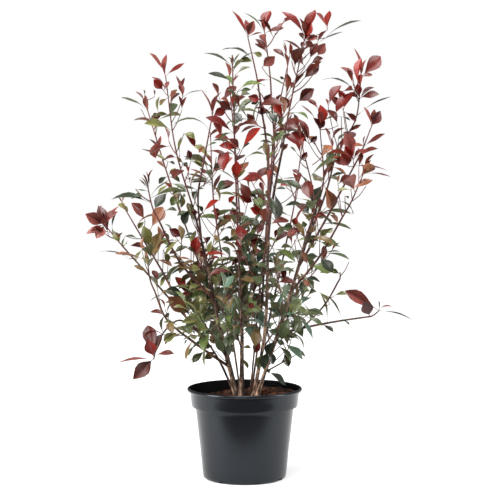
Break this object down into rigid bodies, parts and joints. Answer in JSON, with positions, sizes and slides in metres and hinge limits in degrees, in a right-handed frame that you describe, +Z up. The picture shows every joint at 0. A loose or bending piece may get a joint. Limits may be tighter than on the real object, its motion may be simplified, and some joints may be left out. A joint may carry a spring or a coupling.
{
  "type": "potted photinia shrub",
  "caption": "Upright multi-stemmed evergreen shrub with red new leaves over dark green older ones, growing in a round black plastic nursery pot filled with bark compost.",
  "frame": {"origin": "centre of the flat underside of the pot", "axes": "+Z up along the pot's axis, -Y towards the plant's front, +X to the right seen from the front"},
  "size_m": [0.6833, 0.4757, 0.9709],
  "materials": {
    "pot": "satin blue-black moulded plastic",
    "compost": "rough moist bark compost",
    "bark": "smooth grey-brown bark, purple-red on young wood",
    "red_foliage": "glossy red to bronze leaves on purple-red twigs",
    "green_foliage": "glossy dark green leaves on red-brown twigs"
  },
  "bodies": {
    "root": {"pot": "pot", "soil": "compost", "stem_left_long": "bark", "stem_left_tall": "bark", "stem_left_far": "bark", "stem_centre_left": "bark", "stem_centre_front": "bark", "stem_centre_back": "bark", "stem_right_back": "bark", "stem_right_tall": "bark", "stem_right_outer": "bark", "stem_right_second": "bark", "stem_front": "bark", "stem_back": "bark", "bough_left_low": "bark", "bough_left_arch": "bark", "bough_left_mid": "bark", "bough_left_up": "bark", "bough_left_inner": "bark", "bough_twin_left": "bark", "bough_twin_right": "bark", "bough_right_top": "bark", "bough_right_mid": "bark", "bough_right_side": "bark", "bough_right_low": "bark", "bough_right_curl": "bark", "spray_right_tall": "red_foliage", "spray_twin_left": "red_foliage", "spray_twin_right": "red_foliage", "spray_right_back": "red_foliage", "spray_centre_front": "red_foliage", "spray_centre_back": "red_foliage", "spray_left_tall": "red_foliage", "spray_left_far": "red_foliage", "spray_left_inner": "red_foliage", "spray_left_up": "red_foliage", "spray_left_mid": "red_foliage", "spray_left_long": "red_foliage", "spray_left_low": "red_foliage", "spray_left_arch": "red_foliage", "spray_centre_left": "red_foliage", "spray_right_top": "red_foliage", "spray_right_mid": "red_foliage", "spray_right_inner": "red_foliage", "spray_right_side": "red_foliage", "spray_right_low": "red_foliage", "spray_right_curl": "red_foliage", "spray_right_second": "red_foliage", "spray_front": "red_foliage", "spray_back": "red_foliage", "green_left_front": "green_foliage", "green_left_back": "green_foliage", "green_left": "green_foliage", "green_front_left": "green_foliage", "green_front_right": "green_foliage", "green_right": "green_foliage", "green_back_right": "green_foliage", "green_back_left": "green_foliage", "green_centre": "green_foliage", "green_low_right": "green_foliage"}
  },
  "joints": []
}
